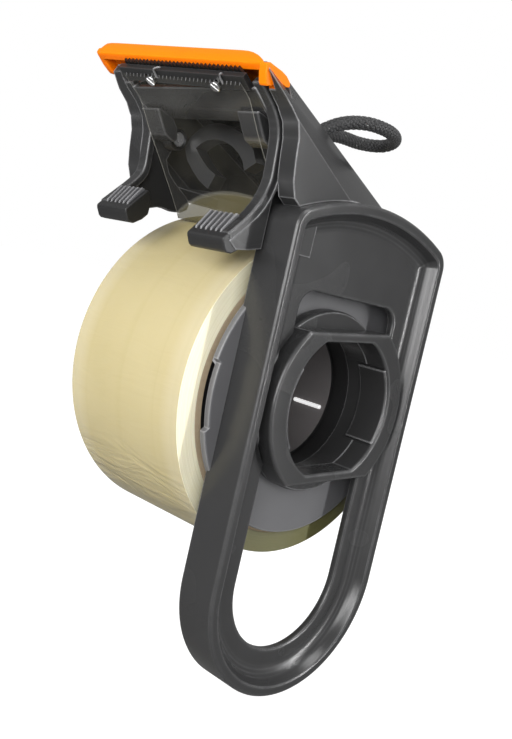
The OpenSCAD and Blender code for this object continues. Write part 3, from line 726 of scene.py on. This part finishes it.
# ---- Cutter -----------------------------------------------------------------
# The serrated steel blade, held on the yoke's plate by a dark clamp strip with two
# zinc-plated screws, and two raised marks on the strip.
BLADE = metal("blade_steel", (0.09, 0.085, 0.08), 0.38, 0.25)
finish_node("cutter_blade", BLADE)
piece("clamp", from_cad("blade_clamp", 0.25), DARK, "yoke", ["blade_clamp"])

SCREWS_X, SCREW_Y = (-11.9, 12.9), 3.05
bm = bmesh.new()
for x in SCREWS_X:
    for depth, r, z in ((0.9, 1.55, -4.2), (1.6, 0.9, -3.1)):
        bmesh.ops.create_cone(bm, cap_ends=True, segments=40, radius1=r, radius2=r, depth=depth,
                              matrix=LEAN @ Matrix.Translation((x, SCREW_Y, z)))
soften(bm, 0.22, 3)
for x in SCREWS_X:
    slot_bm = bmesh.new()
    bmesh.ops.create_cube(slot_bm, size=1, matrix=LEAN @ Matrix.Translation((x, SCREW_Y, -4.68))
                          @ Matrix.Rotation(0.9, 4, "Z") @ Matrix.Diagonal((2.5, 0.35, 0.12, 1)))
    mesh = bpy.data.meshes.new("slot")
    slot_bm.to_mesh(mesh)
    slot_bm.free()
    bm.from_mesh(mesh)
    bpy.data.meshes.remove(mesh)
piece("screws", bm, ZINC, "yoke", ["blade_screws"])


def smooth_path(points, n):
    """A Catmull-Rom line through the points, n steps to each span."""
    pts = [Vector(p) for p in points]
    pts = [2 * pts[0] - pts[1]] + pts + [2 * pts[-1] - pts[-2]]
    out = []
    for a, b, c, d in zip(pts, pts[1:], pts[2:], pts[3:]):
        for i in range(n):
            t = i / n
            out.append(0.5 * (2 * b + (c - a) * t + (2 * a - 5 * b + 4 * c - d) * t * t
                              + (3 * b - a - 3 * c + d) * t ** 3))
    return out + [pts[-2]]


def tube(bm, path, r, sides=8, flat=1.0, ups=None):
    """A closed tube along a path, thinner by flat along the given up vectors."""
    rows, up = [], Vector((0, 0, 1))
    for i, p in enumerate(path):
        way = (path[min(i + 1, len(path) - 1)] - path[max(i - 1, 0)]).normalized()
        up = ups[i] if ups else up
        across = way.cross(up).normalized()
        up = across.cross(way).normalized()
        turns = [math.tau * k / sides for k in range(sides)]
        rows.append([bm.verts.new(p + r * (math.cos(a) * across + flat * math.sin(a) * up)) for a in turns])
    for a, b in zip(rows, rows[1:]):
        for k in range(sides):
            bm.faces.new((a[k], a[(k + 1) % sides], b[(k + 1) % sides], b[k]))
    bm.faces.new(rows[0][::-1])
    bm.faces.new(rows[-1])


# Two raised marks on the clamp, in the paler plastic: painted highlights.
bm = bmesh.new()
for mark in ([(-5.2, -1.6), (-6.6, -1.4), (-8.3, -0.8), (-8.8, 0.2), (-8.9, 2.1)],
             [(17.5, -1.1), (16.9, -1.0), (16.4, -0.4), (16.1, 0.5), (15.9, 2.2)]):
    tube(bm, smooth_path([LEAN @ Vector((x, y, -3.95)) for x, y in mark], 6), 0.22, 8)
piece("clip_marks", bm, PAINTED_LIT, "yoke", ["blade_clamp"])


# ---- Lanyard ----------------------------------------------------------------
# A short loop of braided black cord with a few light flecks, both ends held on the pin
# inside the hood: a core with sixteen flat strands woven over and under round it.
ROUTE = [(17.5, -18, 66.6), (18, -16.5, 68.6), (18.5, -14.5, 70.8), (19.5, -11.5, 73), (20.4, -9, 74.8),
         (21.4, -6, 76.4), (22.6, -2.4, 77.6), (23.6, 2, 78.4), (23.6, 7.2, 78.8), (22.6, 12.4, 79),
         (20.4, 17.4, 79), (17.4, 21.6, 78.8), (14, 24.2, 78.4), (11, 24.6, 77.8), (9, 22.4, 77.2),
         (8.6, 18.6, 76.6), (9.2, 13.8, 76), (10.2, 8.4, 75.6), (11.2, 3.2, 75), (12.4, -2, 74),
         (13.4, -6.6, 72.8), (14, -11, 71.2), (14.2, -14.6, 69.2), (14.2, -17.4, 66.8)]
CORE_R, WEAVE_R, STRAND_R, PITCH, STRANDS = 1.45, 1.62, 0.46, 15.0, 8
centre = smooth_path(ROUTE, 20)
bm = bmesh.new()
tube(bm, centre, CORE_R, 12)
along, ways, ups, up = [0.0], [], [], Vector((0, 0, 1))
for i, p in enumerate(centre):
    way = (centre[min(i + 1, len(centre) - 1)] - centre[max(i - 1, 0)]).normalized()
    across = way.cross(up).normalized()
    up = across.cross(way).normalized()
    ways.append(across)
    ups.append(up.copy())
    if i:
        along.append(along[-1] + (p - centre[i - 1]).length)
for turn in (1, -1):
    for k in range(STRANDS):
        strand, outward = [], []
        for i, p in enumerate(centre):
            w = math.tau * along[i] / PITCH
            angle = turn * w + math.tau * k / STRANDS
            out = math.cos(angle) * ways[i] + math.sin(angle) * ups[i]
            strand.append(p + out * (WEAVE_R + turn * 0.13 * math.cos(STRANDS * w)))
            outward.append(out)
        tube(bm, strand, STRAND_R, 6, 0.5, outward)
braid = bpy.data.materials.new("braid")
braid.use_nodes = True
t = braid.node_tree
bsdf = t.nodes["Principled BSDF"]
place = add(t, "ShaderNodeTexCoord")
specks = add(t, "ShaderNodeTexNoise", Vector=place.outputs["Object"], Scale=820.0, Detail=2.0)
flecks = add(t, "ShaderNodeMapRange", From_Min=0.71, From_Max=0.75)
t.links.new(specks.outputs["Fac"], flecks.inputs["Value"])
yarn = add(t, "ShaderNodeMix", data_type="RGBA")
yarn.inputs[6].default_value = (0.006, 0.006, 0.007, 1)
yarn.inputs[7].default_value = (0.42, 0.42, 0.41, 1)
t.links.new(flecks.outputs["Result"], yarn.inputs[0])
t.links.new(yarn.outputs[2], bsdf.inputs["Base Color"])
bsdf.inputs["Roughness"].default_value = 0.5
bsdf.inputs["Sheen Weight"].default_value = 0.15
fuzz = add(t, "ShaderNodeTexNoise", Vector=place.outputs["Object"], Scale=4000.0, Detail=2.0)
relief = add(t, "ShaderNodeBump", Height=fuzz.outputs["Fac"], Strength=0.3, Distance=0.0002)
t.links.new(relief.outputs["Normal"], bsdf.inputs["Normal"])
lanyard = piece("lanyard", bm, braid, "frame", ["lanyard_cord"], 80)


# ---- Tape film --------------------------------------------------------------
# One clear layer of film drawn from the roll up to the clamp, its end cut in a zigzag
# by the teeth. Its long edges are made paler and more opaque, and its cut edge is drawn in the paler plastic:
# painted highlight lines.
film = bpy.data.materials.new("tape_film")
film.use_nodes = True
t = film.node_tree
bsdf = t.nodes["Principled BSDF"]
place = add(t, "ShaderNodeTexCoord")
axes = add(t, "ShaderNodeSeparateXYZ", Vector=place.outputs["Object"])
# Long edges paler and more opaque: painted highlight lines.
edge = add(t, "ShaderNodeMapRange", From_Min=0.02215, From_Max=0.0225, To_Min=0.0, To_Max=0.7)
t.links.new(math_node(t, "ABSOLUTE", axes.outputs["X"]), edge.inputs["Value"])
cloudy = add(t, "ShaderNodeTexNoise", Vector=place.outputs["Object"], Scale=55.0, Detail=3.0)
haze = add(t, "ShaderNodeMapRange", From_Min=0.35, From_Max=0.75, To_Min=0.01, To_Max=0.08)
t.links.new(cloudy.outputs["Fac"], haze.inputs["Value"])
clear = math_node(t, "ADD", haze.outputs["Result"], edge.outputs["Result"])
# Below a curved line, where the film lies close over the roll, it is painted nearly opaque in a dark amber:
# painted shade standing for the shaded roll seen through it.
across = math_node(t, "SUBTRACT", axes.outputs["X"], 0.006)
across.node.use_clamp = False
bend = add(t, "ShaderNodeMath", operation="MULTIPLY")
t.links.new(across, bend.inputs[0])
t.links.new(across, bend.inputs[1])
drop = add(t, "ShaderNodeMath", operation="MULTIPLY_ADD")
t.links.new(bend.outputs["Value"], drop.inputs[0])
drop.inputs[1].default_value = 8.7
t.links.new(axes.outputs["Z"], drop.inputs[2])
painted_roll_shade = add(t, "ShaderNodeMapRange", From_Min=0.0513, From_Max=0.0501, To_Min=0.0, To_Max=1.0)
t.links.new(drop.outputs["Value"], painted_roll_shade.inputs["Value"])
tint = add(t, "ShaderNodeMix", data_type="RGBA")
tint.inputs[6].default_value = (0.34, 0.33, 0.29, 1)
tint.inputs[7].default_value = (0.095, 0.085, 0.045, 1)
t.links.new(painted_roll_shade.outputs["Result"], tint.inputs[0])
t.links.new(tint.outputs[2], bsdf.inputs["Base Color"])
over_roll = math_node(t, "MULTIPLY", painted_roll_shade.outputs["Result"], 0.82)
t.links.new(math_node(t, "ADD", clear, over_roll), bsdf.inputs["Alpha"])
bsdf.inputs["Roughness"].default_value = 0.12
wave = add(t, "ShaderNodeTexNoise", Vector=place.outputs["Object"], Scale=70.0, Detail=1.0)
relief = add(t, "ShaderNodeBump", Height=wave.outputs["Fac"], Strength=0.35, Distance=0.002)
t.links.new(relief.outputs["Normal"], bsdf.inputs["Normal"])
bm = bmesh.new()
path = [(-43.2, 71.7), (-42.2, 70.4), (-40.4, 67.9), (-38.4, 65.1), (-36.2, 62.3), (-33.8, 59.4),
        (-31.2, 56.3), (-28.6, 53.0), (-26.0, 49.7), (-23.6, 46.6), (-21.6, 43.9), (-20.6, 42.2)]
FILM_WIDTH, ACROSS_STEPS = 45.0, 60
rows = []
for j in range(len(path) + 2):
    row = []
    for i in range(ACROSS_STEPS + 1):
        x = -FILM_WIDTH / 2 + FILM_WIDTH * i / ACROSS_STEPS
        if j < 2:
            tip = 0.9 if i % 2 else 0.0
            p = LEAN @ Vector((x, 1.2 + tip if j == 0 else 3.2, -4.0))
            p.x = x if j else p.x
        else:
            y, z = path[j - 2]
            sag = 0.25 * math.sin(j * 0.9) * math.cos(x * 0.13 + j)
            p = Vector((x, y - 0.4 * sag, z + sag * 0.3))
        row.append(bm.verts.new(p))
    rows.append(row)
for a, b in zip(rows, rows[1:]):
    for i in range(ACROSS_STEPS):
        bm.faces.new((a[i], a[i + 1], b[i + 1], b[i]))
cut_edge = bmesh.new()
for i in range(1, ACROSS_STEPS, 2):
    a, b = rows[0][i].co, rows[0][i + 1].co
    tooth = (b - a).to_track_quat("Z", "Y").to_matrix().to_4x4()
    bmesh.ops.create_cone(cut_edge, cap_ends=True, segments=6, radius1=0.10, radius2=0.10,
                          depth=(b - a).length, matrix=Matrix.Translation((a + b) / 2) @ tooth)
bmesh.ops.solidify(bm, geom=bm.faces, thickness=0.06)
piece("film", bm, film, "yoke", ["tape_strip"], 60)
piece("film_cut_edge", cut_edge, PAINTED_LIT, "yoke", ["tape_strip"], 60)


# ---- Studio -----------------------------------------------------------------
# White surround, a pale floor, and large soft lights.
world = bpy.data.worlds.new("studio")
scene.world = world
world.use_nodes = True
t = world.node_tree
back = t.nodes["Background"]
seen = t.nodes.new("ShaderNodeLightPath")
t.links.new(math_node(t, "MAXIMUM", 0.30, seen.outputs["Is Camera Ray"]), back.inputs["Strength"])
back.inputs["Color"].default_value = (1, 1, 1, 1)


def softbox(name, place, aim, size, watts):
    lamp = bpy.data.objects.new(name, bpy.data.lights.new(name, "AREA"))
    lamp.data.shape = "RECTANGLE"
    lamp.data.size, lamp.data.size_y = size
    lamp.data.energy = watts
    lamp.location = place
    lamp.rotation_euler = (Vector(aim) - Vector(place)).to_track_quat("-Z", "Y").to_euler()
    scene.collection.objects.link(lamp)


softbox("key", (0.02, -0.75, 0.22), (0, 0, 0.0), (0.45, 0.45), 4.6)
softbox("side", (0.55, 0.29, 0.04), (0.02, -0.03, 0.02), (0.10, 0.4), 0.8)
softbox("fill", (0.34, -0.38, 0.12), (0.0, 0, 0.0), (0.25, 0.25), 1.3)
softbox("rim", (0.32, -0.64, -0.03), (0.02, -0.02, 0.0), (0.10, 0.4), 1.5)
softbox("right_strip", (0.42, 0.22, 0.10), (0.03, 0, 0), (0.012, 0.7), 1.8)
softbox("top", (0.20, -0.05, 0.60), (0.0, 0, 0), (0.25, 0.25), 1.2)

bm = bmesh.new()
bmesh.ops.create_grid(bm, x_segments=1, y_segments=1, size=6, matrix=Matrix.Translation((0, 0, -0.0835)))
mesh = bpy.data.meshes.new("floor")
bm.to_mesh(mesh)
bm.free()
floor = bpy.data.objects.new("floor", mesh)
scene.collection.objects.link(floor)
paper = bpy.data.materials.new("paper")
paper.use_nodes = True
b = paper.node_tree.nodes["Principled BSDF"]
b.inputs["Base Color"].default_value = (0.30, 0.30, 0.30, 1)
b.inputs["Roughness"].default_value = 0.9
b.inputs["Emission Color"].default_value = (1, 1, 1, 1)
seen = paper.node_tree.nodes.new("ShaderNodeLightPath")
paper.node_tree.links.new(math_node(paper.node_tree, "MULTIPLY", seen.outputs["Is Camera Ray"], 0.95),
                          b.inputs["Emission Strength"])
mesh.materials.append(paper)
